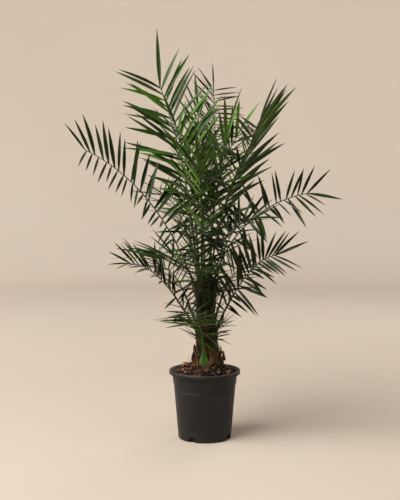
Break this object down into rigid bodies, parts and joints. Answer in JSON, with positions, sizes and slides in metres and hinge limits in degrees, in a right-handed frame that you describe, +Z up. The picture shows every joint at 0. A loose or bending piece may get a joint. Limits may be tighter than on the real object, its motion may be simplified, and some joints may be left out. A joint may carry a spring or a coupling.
{
  "type": "pygmy date palm with its pot",
  "caption": "Young feather palm with a short stem clad in old leaf bases and arching fronds of stiff narrow leaflets, rooted in a round tapered nursery pot.",
  "frame": {"origin": "centre of the pot's flat underside, on the floor that the plant stands on", "axes": "+Z up along the stem, +X to the right and -Y to the front, where the two long arching fronds reach left and right"},
  "size_m": [0.8803, 0.8285, 1.3792],
  "materials": {
    "pot": "satin charcoal black",
    "compost": "damp bark chips",
    "stem": "fibrous old leaf bases",
    "frond": "smooth, slightly glossy leaf"
  },
  "bodies": {
    "root": {"pot": "pot", "root_ball": "compost", "stem": "stem", "frond_top_left": "frond", "frond_left_stalk": "frond", "frond_left": "frond", "frond_right_stalk": "frond", "frond_right": "frond", "frond_upper_right_stalk": "frond", "frond_upper_right": "frond", "frond_top_back": "frond", "frond_low_right_stalk": "frond", "frond_low_right": "frond", "frond_low_left_stalk": "frond", "frond_low_left": "frond", "frond_front_left_stalk": "frond", "frond_front_left": "frond", "frond_foot_front": "frond", "frond_spear": "frond", "frond_front_right_stalk": "frond", "frond_front_right": "frond", "frond_front_stalk": "frond", "frond_front": "frond", "frond_back_stalk": "frond", "frond_back": "frond", "frond_back_left_stalk": "frond", "frond_back_left": "frond", "frond_back_right_stalk": "frond", "frond_back_right": "frond", "frond_low_back_stalk": "frond", "frond_low_back": "frond", "frond_low_back_left_stalk": "frond", "frond_low_back_left": "frond", "frond_low_back_right_stalk": "frond", "frond_low_back_right": "frond", "frond_low_front_right": "frond", "frond_foot_right": "frond", "frond_inner_left": "frond", "frond_inner_right": "frond", "frond_inner_back": "frond", "frond_inner_front": "frond"}
  },
  "joints": []
}
